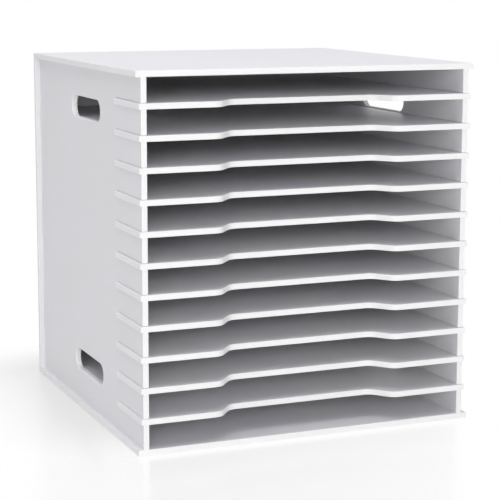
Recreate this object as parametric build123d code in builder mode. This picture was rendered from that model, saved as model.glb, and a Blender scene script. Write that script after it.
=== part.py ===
# Open-fronted cabinet with twelve flat slots, cut from one thickness of white board.
# Five bonded panels make the case, and eleven loose shelves slide into it from the front.
# The origin is on the floor, under the middle of the case. The open front faces -Y, and Z points up.
from build123d import *
import os

os.makedirs("parts", exist_ok=True)

# Board and slots, in millimetres
board = 5.3              # thickness of every board
slot_count = 12          # slots from the bottom panel to the top panel
case_height = 341.0      # from the floor to the top face, shared out evenly among the slots
inner_width = 312.0      # between the side panels: the 304.8 mm it is made to take, and some play
case_depth = 331.0       # from the front edge of the top panel to the back of the case
overhang = 5.0           # how far the top, bottom and back reach past each side panel
side_setback = 1.0       # front edges of the side panels, behind the front edge of the top
edge_break = 0.25        # chamfer along the cut edges that a hand meets

# Shelves
ear_length = 70.0        # from a shelf's front edge to the back of its ear
ear_proud = 2.0          # how far an ear stands out of the side panel
recess_floor = 143.0     # width of the finger recess at its deep end, before rounding
recess_mouth = 174.0     # width of the finger recess at the front edge, before rounding
recess_depth = 19.5      # from the front edge to the deep end
recess_radius = 12.0     # rounding of all four corners of the recess
shelf_tab_width = 40.0   # each of the two tabs on a shelf's rear edge
shelf_tab_span = 180.0   # between the middles of those two tabs

# Hand holes
hole_length = 90.0       # along the side panel, with round ends
hole_margin = 1.0        # from a shelf's face to the hole, above and below
hole_break = 0.5         # chamfer around both rims
hole_slots = (2, 11)     # slots that have a hand hole at each end, counted from the bottom

# Tabs of the side panels
side_tab_length = 40.0   # along the panel's edge
side_tab_step = 100.0    # between the middles of neighbouring tabs
side_tab_count = 3       # on each of the top, bottom and rear edges
pocket_depth = 2.5       # blind pockets in the top and the bottom panel

# Clearances
rest_gap = 0.1           # under a shelf, in its notch or slot
lift_gap = 0.3           # over a shelf, in its notch or slot
shelf_side_gap = 0.5     # between a shelf and the side and back panels
tab_gap = 0.1            # around a side panel's tab
tab_end_gap = 0.2        # between the tab's end and the bottom of its pocket

# Planes that the pieces share
slot_pitch = (case_height - board) / slot_count
slot_clear = slot_pitch - board
front_y = -case_depth / 2
rear_y = case_depth / 2
back_inner_y = rear_y - board
side_front_y = front_y + side_setback
side_inner_x = inner_width / 2
side_outer_x = side_inner_x + board
panel_width = 2 * (side_outer_x + overhang)
ceiling_z = case_height - board
side_middle_x = (side_inner_x + side_outer_x) / 2
side_middle_y = (side_front_y + back_inner_y) / 2
case_middle_z = case_height / 2

# The shelf's outline, worked out once for all eleven
ear_x = side_outer_x + ear_proud
ear_back_y = front_y + ear_length
shelf_body_x = side_inner_x - shelf_side_gap
shelf_rear_y = back_inner_y - shelf_side_gap
recess_y = front_y + recess_depth
tab_near_x = (shelf_tab_span - shelf_tab_width) / 2
tab_far_x = (shelf_tab_span + shelf_tab_width) / 2

# Heights of the opening that a shelf needs, from the shelf's underside
opening_height = rest_gap + board + lift_gap
opening_middle = (board + lift_gap - rest_gap) / 2


def shelf_underside(level):
    """Height of the underside of a shelf, counted from the lowest one."""
    return level * slot_pitch


def slot_middle(slot):
    """Height of the middle of a slot, counted from the lowest one."""
    return (slot - 1) * slot_pitch + board + slot_clear / 2


def make_level_panel(name, floor_z, pocket_face_z, into):
    """The top or bottom panel. Its pockets for the side panels' tabs run upwards (1) or downwards (-1)."""
    with BuildPart() as panel:
        with BuildSketch(Plane.XY.offset(floor_z)):
            Rectangle(panel_width, case_depth)
        extrude(amount=board)
        chamfer(panel.edges(), edge_break)
        with BuildSketch(Plane.XY.offset(pocket_face_z)):
            with Locations((0, side_middle_y)):
                with GridLocations(2 * side_middle_x, side_tab_step, 2, side_tab_count):
                    Rectangle(board + 2 * tab_gap, side_tab_length + 2 * tab_gap)
        extrude(amount=into * pocket_depth, mode=Mode.SUBTRACT)
    panel.part.label = name
    return panel.part


def make_side_panel(name, inner_x):
    """A side panel, between the top and the bottom, with notches, hand holes and tabs."""
    panel_height = ceiling_z - board
    panel_depth = back_inner_y - side_front_y
    notch_length = ear_back_y + shelf_side_gap - side_front_y
    level_tab_height = panel_height + 2 * (pocket_depth - tab_end_gap)
    with BuildPart() as panel:
        with BuildSketch(Plane.YZ.offset(inner_x)):
            with Locations((side_middle_y, case_middle_z)):
                Rectangle(panel_depth, panel_height)
                with GridLocations(side_tab_step, 0, side_tab_count, 1):
                    Rectangle(side_tab_length, level_tab_height)
            with Locations((back_inner_y, case_middle_z)):
                with GridLocations(0, side_tab_step, 1, side_tab_count):
                    Rectangle(2 * board, side_tab_length)
            for level in range(1, slot_count):
                with Locations((side_front_y, shelf_underside(level) + opening_middle)):
                    Rectangle(2 * notch_length, opening_height, mode=Mode.SUBTRACT)
        extrude(amount=board)
        front_faces = panel.faces().filter_by(Axis.Y).group_by(Axis.Y)[0]
        chamfer(front_faces.edges().filter_by(Axis.Z), edge_break)
        with BuildSketch(Plane.YZ.offset(inner_x)):
            for slot in hole_slots:
                with Locations((side_middle_y, slot_middle(slot))):
                    SlotOverall(hole_length, slot_clear - 2 * hole_margin)
        extrude(amount=board, mode=Mode.SUBTRACT)
        rims = [wire for face in panel.faces().filter_by(Axis.X) for wire in face.inner_wires()]
        chamfer([edge for wire in rims for edge in wire.edges()], hole_break)
    panel.part.label = name
    return panel.part


def make_back_panel():
    """The back panel, as wide as the top, with through slots for the side tabs and the shelf tabs."""
    with BuildPart() as panel:
        with BuildSketch(Plane.XZ.offset(-rear_y)):
            with Locations((0, case_middle_z)):
                Rectangle(panel_width, ceiling_z - board)
                with GridLocations(2 * side_middle_x, side_tab_step, 2, side_tab_count):
                    Rectangle(board + 2 * tab_gap, side_tab_length + 2 * tab_gap, mode=Mode.SUBTRACT)
            for level in range(1, slot_count):
                with Locations((0, shelf_underside(level) + opening_middle)):
                    with GridLocations(shelf_tab_span, 0, 2, 1):
                        Rectangle(shelf_tab_width + 2 * shelf_side_gap, opening_height, mode=Mode.SUBTRACT)
        extrude(amount=board)
        upright_edges = panel.edges().filter_by(Axis.Z)
        chamfer(upright_edges.group_by(Axis.X)[0] + upright_edges.group_by(Axis.X)[-1], edge_break)
    panel.part.label = "back_panel"
    return panel.part


def make_shelf(level):
    """A loose shelf: ears at the front, a finger recess in its front edge and two tabs at the rear."""
    with BuildPart() as shelf:
        with BuildSketch(Plane.XY.offset(shelf_underside(level))):
            with BuildLine():
                FilletPolyline(
                    (0, recess_y),
                    (recess_floor / 2, recess_y),
                    (recess_mouth / 2, front_y),
                    (ear_x, front_y),
                    radius=recess_radius,
                )
                Polyline(
                    (ear_x, front_y),
                    (ear_x, ear_back_y),
                    (shelf_body_x, ear_back_y),
                    (shelf_body_x, shelf_rear_y),
                    (tab_far_x, shelf_rear_y),
                    (tab_far_x, rear_y),
                    (tab_near_x, rear_y),
                    (tab_near_x, shelf_rear_y),
                    (0, shelf_rear_y),
                )
                mirror(about=Plane.YZ)
            make_face()
        extrude(amount=board)
        chamfer(shelf.faces().filter_by(Axis.Z).edges(), edge_break)
    shelf.part.label = f"shelf_{level:02d}"
    return shelf.part


pieces = [
    make_level_panel("bottom_panel", 0, board, -1),
    make_level_panel("top_panel", ceiling_z, ceiling_z, 1),
    make_side_panel("left_side_panel", -side_outer_x),
    make_side_panel("right_side_panel", side_inner_x),
    make_back_panel(),
]
for level in range(1, slot_count):
    pieces.append(make_shelf(level))

for piece in pieces:
    export_step(piece, f"parts/{piece.label}.step")
    box = piece.bounding_box()
    print(f"{piece.label}: {box.size.X:.1f} x {box.size.Y:.1f} x {box.size.Z:.1f} mm, {piece.volume / 1000:.1f} cm3")
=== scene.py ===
# %% [markdown]
# # A cabinet of flat slots in white foamed board
# This lesson dresses a cabinet that is already built to size: five bonded panels and eleven loose
# shelves. Every board is flat and square-cut, so no shape is missing. What makes it look real is its
# finish: a satin skin on the broad faces, a drier routed edge all round them, and soft light that tells
# the two apart. The first cell brings the sized boards in. They stay exactly where they are, and the
# scene is built around them.

# %% Bring in the boards
import math

import bmesh
import bpy
from mathutils import Matrix, Vector


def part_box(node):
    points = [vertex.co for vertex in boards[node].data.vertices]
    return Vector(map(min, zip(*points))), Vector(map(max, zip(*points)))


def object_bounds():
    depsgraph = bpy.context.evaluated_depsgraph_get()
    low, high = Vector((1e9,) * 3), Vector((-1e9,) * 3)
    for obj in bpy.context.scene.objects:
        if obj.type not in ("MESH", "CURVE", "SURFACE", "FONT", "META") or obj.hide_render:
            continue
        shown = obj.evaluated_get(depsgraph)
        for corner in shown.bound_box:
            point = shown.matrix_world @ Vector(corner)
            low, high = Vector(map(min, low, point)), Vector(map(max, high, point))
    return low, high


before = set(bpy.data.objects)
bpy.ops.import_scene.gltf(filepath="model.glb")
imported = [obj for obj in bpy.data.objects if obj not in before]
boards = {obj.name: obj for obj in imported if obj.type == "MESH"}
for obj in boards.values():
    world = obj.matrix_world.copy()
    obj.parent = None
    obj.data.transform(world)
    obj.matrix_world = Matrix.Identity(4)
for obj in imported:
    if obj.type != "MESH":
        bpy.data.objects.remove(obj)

millimetre = 0.001                     # every length here is in metres
built_low, built_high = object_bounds()
cabinet_size = built_high - built_low
cabinet_middle = (built_low + built_high) / 2
print("boards:", len(boards), "size in mm:", [round(side / millimetre, 1) for side in cabinet_size])

# %% [markdown]
# ## The camera
# The cabinet is seen from its left, a little above its top, with a long lens that keeps its lines almost
# parallel. A camera could be aimed by hand, but angles are easier to check than a matrix: turn it about
# the vertical, tilt it down, then roll it a trace. A view camera keeps uprights upright by sliding its
# picture instead of tilting. A small shift does some of that here, and still leaves the cabinet in the
# frame from any other side.

# %% Place the camera
camera_place = Vector((-0.6018, -1.4589, 0.4235))
camera_turn = math.radians(22.73)      # from looking straight at the back, towards the right
camera_tilt = math.radians(8.81)       # down from the horizontal
camera_roll = math.radians(0.10)       # counterclockwise, for someone behind the camera
sensor_width = 36.0                    # millimetres, as the lens is
lens_length = 114.6
lens_shift = -0.06                     # of the picture's height, and minus is downwards
nearest_seen = 0.05
furthest_seen = 60.0

camera = bpy.data.objects.new("camera", bpy.data.cameras.new("camera"))
bpy.context.scene.collection.objects.link(camera)
turned = Matrix.Rotation(-camera_turn, 4, "Z")
tilted = Matrix.Rotation(math.pi / 2 - camera_tilt, 4, "X")
rolled = Matrix.Rotation(camera_roll, 4, "Z")
camera.matrix_world = Matrix.Translation(camera_place) @ turned @ tilted @ rolled
camera.data.lens = lens_length
camera.data.sensor_width = sensor_width
camera.data.shift_y = lens_shift
camera.data.clip_start = nearest_seen
camera.data.clip_end = furthest_seen
bpy.context.scene.camera = camera
print("camera distance in m:", round((camera_place - cabinet_middle).length, 3))

# %% [markdown]
# ## Shader maths as plain arithmetic
# A finish is mostly sums: this mask times that noise, plus a little. Clicked together as nodes it is hard
# to read, so one small class holds a node's output, and Python's own operators add the Math nodes. Any
# other node comes from its `node` method, which sets the node up first and then links or fills its
# sockets.


# %% A socket that can be added and multiplied
class Wire:
    """One output socket of a material's tree, to be used in sums like a number."""

    def __init__(self, tree, socket=None):
        self.tree = tree
        self.socket = socket

    def node(self, kind, settings=None, values=None, output=0):
        """Adds a node, sets it up, fills its sockets by name or number, and returns one output."""
        made = self.tree.nodes.new(kind)
        for setting, value in (settings or {}).items():
            setattr(made, setting, value)
        for place, value in (values or {}).items():
            if isinstance(value, Wire):
                self.tree.links.new(value.socket, made.inputs[place])
            else:
                made.inputs[place].default_value = value
        return Wire(self.tree, made.outputs[output])

    def maths(self, operation, *terms):
        """A Math node on one or two terms."""
        return self.node("ShaderNodeMath", {"operation": operation}, dict(enumerate(terms)))

    def vector_maths(self, operation, *others, output="Vector"):
        """The same on all three parts of this vector at once."""
        values = dict(enumerate((self, *others)))
        return self.node("ShaderNodeVectorMath", {"operation": operation}, values, output)

    def __add__(self, other):
        return self.maths("ADD", self, other)

    def __sub__(self, other):
        return self.maths("SUBTRACT", self, other)

    def __rsub__(self, other):
        return self.maths("SUBTRACT", other, self)

    def __mul__(self, other):
        return self.maths("MULTIPLY", self, other)

    def __abs__(self):
        return self.maths("ABSOLUTE", self)

    __radd__ = __add__
    __rmul__ = __mul__

    def between(self, low, high):
        """0 below low, 1 above high, and a smooth step in between."""
        settings = {"interpolation_type": "SMOOTHSTEP"}
        values = {"Value": self, "From Min": low, "From Max": high}
        return self.node("ShaderNodeMapRange", settings, values)

    def blend(self, first, second):
        """The first value where this mask is 0, and the second where it is 1."""
        return first + (second - first) * self

    def tint(self, first, second):
        """The same for two colours."""
        return self.node("ShaderNodeMix", {"data_type": "RGBA"}, {0: self, 6: first, 7: second}, output=2)

    def noise(self, size, detail):
        """Noise with grains of this size, at this place. A step of detail adds grains half as large."""
        values = {"Vector": self, "Scale": 1 / size, "Detail": detail}
        return self.node("ShaderNodeTexNoise", {}, values)


# %% An empty material, and colours as they look on screen
def new_material(name):
    """An empty material, a Wire to start its sums from, and its output node."""
    material = bpy.data.materials.new(name)
    material.use_nodes = True
    tree = material.node_tree
    tree.nodes.clear()
    return material, Wire(tree), tree.nodes.new("ShaderNodeOutputMaterial")


screen_offset = 0.055                  # the screen's own curve, for all but its darkest tones
screen_power = 2.4
screen_white = 255


def linear(red, green, blue):
    """A colour given as it looks on screen, from 0 to 255, in the linear values that a shader takes."""
    shares = [channel / screen_white for channel in (red, green, blue)]
    lit = [((share + screen_offset) / (1 + screen_offset)) ** screen_power for share in shares]
    return (*lit, 1.0)


pure_white = (1.0, 1.0, 1.0, 1.0)
print("screen grey 240 in linear:", round(linear(240, 240, 240)[0], 3))

# %% [markdown]
# ## The board's finish
# Foamed board has two faces to it. Its skin is smooth and satin, with a faint orange peel and slow waves
# from the rollers. Its cut edge is drier and a touch brighter: the cutter leaves fine upright flutes, and
# opens tiny cells. Two materials on two sets of faces would show a hard line at each arris. The finish
# here asks one question instead: how squarely does this spot face along the board's thickness? The answer
# is the mask that mixes skin and edge, and its middle band is the broken arris, which handling has rubbed
# smooth.

# %% Tell skin, edge and arris apart
edge_until = 0.20                      # squareness is 0 on a cut edge, and up to here all is edge
edge_gone = 0.45                       # from here nothing is
skin_from = 0.80                       # the skin starts here
skin_whole = 0.95                      # and is whole from here to 1, which is the broad face


def board_masks(start, thickness):
    """Masks of the skin, the cut edge and the arris between them. At any spot the three add up to 1."""
    facing = start.node("ShaderNodeTexCoord", output="Normal")
    squareness = abs(facing.vector_maths("DOT_PRODUCT", thickness, output="Value"))
    skin = squareness.between(skin_from, skin_whole)
    edge = 1 - squareness.between(edge_until, edge_gone)
    return skin, edge, 1 - skin - edge


print("squareness of an arris cut at 45 degrees:", round(math.cos(math.radians(45)), 2))

# %% [markdown]
# The detail is a few hundredths of a millimetre high. Modelled, it would take millions of faces, and bump
# shows it as well. Each feature is one noise with grains of its own size. For the flutes the noise is
# drawn out along the thickness, the way the cutter stood, so that each runs right across the edge.

# %% Patterns of the skin and the edge
cloud_size = 90 * millimetre
wave_size = 26 * millimetre
peel_size = 1.1 * millimetre
cell_size = 0.45 * millimetre
flute_size = 0.9 * millimetre
flute_squeeze = 0.04                   # the pattern's scale along the thickness, beside 1 elsewhere
plain_detail = 1.0
rough_detail = 2.0
cloud_from = 0.35                      # where the noise is over this, a cloud starts
cloud_whole = 0.65                     # and over this it is whole


def board_patterns(start, thickness):
    """Clouds, waves and orange peel for the skin, and cells and flutes for the cut edge."""
    place = start.node("ShaderNodeTexCoord", output="Object")
    cloud = place.noise(cloud_size, rough_detail).between(cloud_from, cloud_whole)
    wave = place.noise(wave_size, plain_detail)
    peel = place.noise(peel_size, plain_detail)
    cell = place.noise(cell_size, rough_detail)
    scale = [flute_squeeze if part else 1.0 for part in thickness]
    drawn_out = start.node("ShaderNodeMapping", {}, {"Vector": place, "Scale": scale})
    flute = drawn_out.noise(flute_size, plain_detail)
    return cloud, wave, peel, cell, flute


print("length of a flute in mm:", round(flute_size / flute_squeeze / millimetre, 1))

# %% [markdown]
# Now the masks and the patterns come together three times: as relief, as paint and as gloss. The heights
# are real ones, in metres, so the Bump node's strength and distance are both 1. The three finishes differ
# only in the direction of the board's thickness, so one function makes them all.

# %% One finish, in three directions
wave_height = 0.030 * millimetre
peel_height = 0.010 * millimetre
cell_height = 0.020 * millimetre
flute_height = 0.030 * millimetre
skin_colour = linear(235, 234, 238)
skin_warm = linear(235, 235, 237)      # where the skin is a trace yellower, in broad clouds
edge_colour = linear(246, 246, 246)
arris_colour = linear(247, 247, 247)
skin_roughness = 0.42
edge_roughness = 0.62
arris_roughness = 0.36
peel_gloss = 0.06                      # by how much a pattern changes the roughness, from its 0 to its 1
cloud_gloss = 0.05
cell_gloss = 0.12
pattern_middle = 0.5                   # where a pattern leaves the roughness as it is
board_ior = 1.46


def make_board_finish(name, thickness):
    """Skin and cut edge for boards whose thickness runs along this unit vector, which is X, Y or Z."""
    material, start, out = new_material(name)
    skin, edge, arris = board_masks(start, thickness)
    cloud, wave, peel, cell, flute = board_patterns(start, thickness)

    skin_relief = wave * wave_height + peel * peel_height
    edge_relief = flute * flute_height + cell * cell_height
    relief = skin_relief * skin + edge_relief * edge
    bump = start.node("ShaderNodeBump", {}, {"Height": relief, "Strength": 1.0, "Distance": 1.0})

    skin_paint = cloud.tint(skin_colour, skin_warm)
    paint = arris.tint(skin.tint(edge_colour, skin_paint), arris_colour)

    peel_part = (peel - pattern_middle) * peel_gloss
    cloud_part = (cloud - pattern_middle) * cloud_gloss
    skin_gloss = skin_roughness + peel_part + cloud_part
    edge_gloss = edge_roughness + (cell - pattern_middle) * cell_gloss
    roughness = skin_gloss * skin + edge_gloss * edge + arris_roughness * arris

    values = {"Base Color": paint, "Roughness": roughness, "Normal": bump, "IOR": board_ior}
    surface = start.node("ShaderNodeBsdfPrincipled", {}, values)
    start.tree.links.new(surface.socket, out.inputs["Surface"])
    return material


finishes = {
    "level": make_board_finish("foamed_board_level", (0.0, 0.0, 1.0)),
    "side": make_board_finish("foamed_board_side", (1.0, 0.0, 0.0)),
    "back": make_board_finish("foamed_board_back", (0.0, 1.0, 0.0)),
}
print("finishes:", [finish.name for finish in finishes.values()])

# %% [markdown]
# ## Dressing the boards
# Each board takes the finish that matches the way it lies, read from its own size: the thinnest side of
# its box is its thickness. Reading it is safer than a list of names, because a new shelf then dresses
# itself.

# %% Give every board its finish
finish_by_axis = ("side", "back", "level")
for name, board in sorted(boards.items()):
    low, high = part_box(name)
    sides = high - low
    thinnest = min(range(3), key=lambda axis: sides[axis])
    finish = finishes[finish_by_axis[thinnest]]
    board.data.materials.clear()
    board.data.materials.append(finish)
    print(name, "->", finish.name)

# %% [markdown]
# ## The floor
# The cabinet stands on a pale, faintly polished floor that fades into white. The fade could be made with
# more light, but that would bleach the cabinet too. Here the camera alone sees it. Under the cabinet's
# left side the floor shows its real surface with the soft shadow, and away from there it turns into plain
# white with a dim, blurred mirror image. Seen this flat, a rough mirror blurs level lines away and leaves
# upright streaks.

# %% Lay the floor
floor_radius = 9.0
floor_rim_sides = 128
floor_mesh = bmesh.new()
bmesh.ops.create_circle(floor_mesh, cap_ends=True, radius=floor_radius, segments=floor_rim_sides)
floor_data = bpy.data.meshes.new("floor")
floor_mesh.to_mesh(floor_data)
floor_mesh.free()
floor = bpy.data.objects.new("floor", floor_data)
bpy.context.scene.collection.objects.link(floor)
print("floor sides:", len(floor_data.vertices))

# %% [markdown]
# Two helpers do the fading. One tells what the camera sees, directly or in a mirror, from all other
# light. The other measures how far a spot of the floor lies from the full shade, a short line under the
# cabinet's left side. It folds the floor about the line's middle and takes half the line's length away.
# What is left is the way to the line's nearest point.

# %% Who looks, and how far from the shade
shade_middle = (-0.150, 0.056, 0.0)    # under the cabinet's left side, a little to the rear
shade_reach = (0.0, 0.096, 0.0)        # from that middle to either end of the full shade
nowhere = (0.0, 0.0, 0.0)


def camera_or_mirror(start):
    """1 for what the camera sees directly, in a reflection or through glass, and 0 for all other light."""
    seen = start.node("ShaderNodeLightPath", output="Is Camera Ray")
    mirrored = start.node("ShaderNodeLightPath", output="Is Glossy Ray")
    through = start.node("ShaderNodeLightPath", output="Is Transmission Ray")
    return start.maths("MAXIMUM", start.maths("MAXIMUM", seen, mirrored), through)


def way_from_shade(place):
    """Metres from this place to the full shade."""
    from_middle = place.vector_maths("SUBTRACT", shade_middle).vector_maths("ABSOLUTE")
    outside = from_middle.vector_maths("SUBTRACT", shade_reach).vector_maths("MAXIMUM", nowhere)
    return outside.vector_maths("LENGTH", output="Value")


print("length of the full shade in mm:", round(2 * Vector(shade_reach).length / millimetre))

# %% Colour the floor
floor_colour = linear(250, 249, 247)
floor_roughness = 0.30
grain_size = 1 / 180                   # 180 grains to the metre
grain_detail = 3.0
grain_gloss = 0.04                     # how much the grain adds to the roughness, at its most
shade_soft = 0.142                     # metres over which the shade thins out
mirror_close = 0.145                   # how much the white floor mirrors beside the cabinet
mirror_far = 0.06                      # and further out
mirror_from = 0.16                     # metres from the full shade where the mirroring starts to weaken
mirror_to = 0.44                       # and where it is down to the lower value
mirror_roughness = 0.22

floor_material, start, out = new_material("pale_floor")
place = start.node("ShaderNodeTexCoord", output="Object")
distance = way_from_shade(place)
floor_gloss = place.noise(grain_size, grain_detail) * grain_gloss + floor_roughness
lit_values = {"Base Color": floor_colour, "Roughness": floor_gloss}
lit_floor = start.node("ShaderNodeBsdfPrincipled", {}, lit_values)
plain_white = start.node("ShaderNodeEmission", {}, {"Color": pure_white, "Strength": 1.0})
mirror_values = {"Base Color": pure_white, "Metallic": 1.0, "Roughness": mirror_roughness}
mirror = start.node("ShaderNodeBsdfPrincipled", {}, mirror_values)
mirroring = distance.between(mirror_from, mirror_to).blend(mirror_close, mirror_far)
glossy_white = start.node("ShaderNodeMixShader", {}, {0: mirroring, 1: plain_white, 2: mirror})
share = distance.between(0.0, shade_soft) * camera_or_mirror(start)
mixed = start.node("ShaderNodeMixShader", {}, {0: share, 1: lit_floor, 2: glossy_white})
start.tree.links.new(mixed.socket, out.inputs["Surface"])
floor_data.materials.append(floor_material)
print("the floor is white from", shade_soft, "m outside the full shade")

# %% [markdown]
# ## The light
# White board shows its form only if its faces differ: the front is the brightest, the top a little
# darker, and the side toward us clearly greyer. It also needs some direction, or the overhang of the top
# casts no shadow at all. So a cool, dim room fills the slots, and four large soft boxes do the rest. The
# key box stands low in front and a little to the left, so it faces the front edges and grazes the side. A
# weak fill box evens the front out. The top box hangs a little to the left, where it lights the top and
# rakes down the side. The rear box is there for the right side and the back, which this picture leaves
# out.

# %% A white room
room_strength = 0.30
room_tint = (0.90, 0.91, 1.0, 1.0)
world = bpy.data.worlds.new("studio")
bpy.context.scene.world = world
world.use_nodes = True
world.node_tree.nodes.clear()
room = Wire(world.node_tree)
white_room = room.node("ShaderNodeBackground", {}, {"Color": pure_white, "Strength": 1.0})
soft_room = room.node("ShaderNodeBackground", {}, {"Color": room_tint, "Strength": room_strength})
room_mix = room.node("ShaderNodeMixShader", {}, {0: camera_or_mirror(room), 1: soft_room, 2: white_room})
room_out = world.node_tree.nodes.new("ShaderNodeOutputWorld")
world.node_tree.links.new(room_mix.socket, room_out.inputs["Surface"])
print("room strength:", room_strength)

# %% [markdown]
# The boxes stay out of reflections. Seen from behind, the key box would mirror in the satin top and
# bleach it, and the white room already gives every face its sheen.

# %% Soft boxes
front_lamp = (1.0, 0.99, 0.96)         # the two in front are a trace warm, against the cool room
top_lamp = (1.0, 1.0, 1.0)
rear_lamp = (0.97, 0.98, 1.0)


def add_soft_box(name, place, width, watts, colour):
    """A square lamp that looks at the middle of the cabinet."""
    lamp = bpy.data.lights.new(name, "AREA")
    lamp.shape = "SQUARE"
    lamp.size = width
    lamp.energy = watts
    lamp.color = colour
    holder = bpy.data.objects.new(name, lamp)
    holder.location = place
    holder.rotation_euler = (cabinet_middle - Vector(place)).to_track_quat("-Z", "Y").to_euler()
    holder.visible_glossy = False
    bpy.context.scene.collection.objects.link(holder)
    print(name, "at", place, "with", watts, "W")


add_soft_box("key_box", place=(-0.95, -2.40, 0.25), width=1.6, watts=36.0, colour=front_lamp)
add_soft_box("fill_box", place=(0.60, -2.50, 0.30), width=1.6, watts=10.0, colour=front_lamp)
add_soft_box("top_box", place=(-0.55, -0.32, 2.35), width=1.8, watts=29.5, colour=top_lamp)
add_soft_box("rear_box", place=(1.40, 2.20, 0.40), width=1.6, watts=16.0, colour=rear_lamp)

# %% [markdown]
# ## Finish
# The last cell hands the scene over with the plain Standard view, which shows a colour as it is written.

# %% Finish with the Standard view
bpy.context.scene.view_settings.view_transform = "Standard"
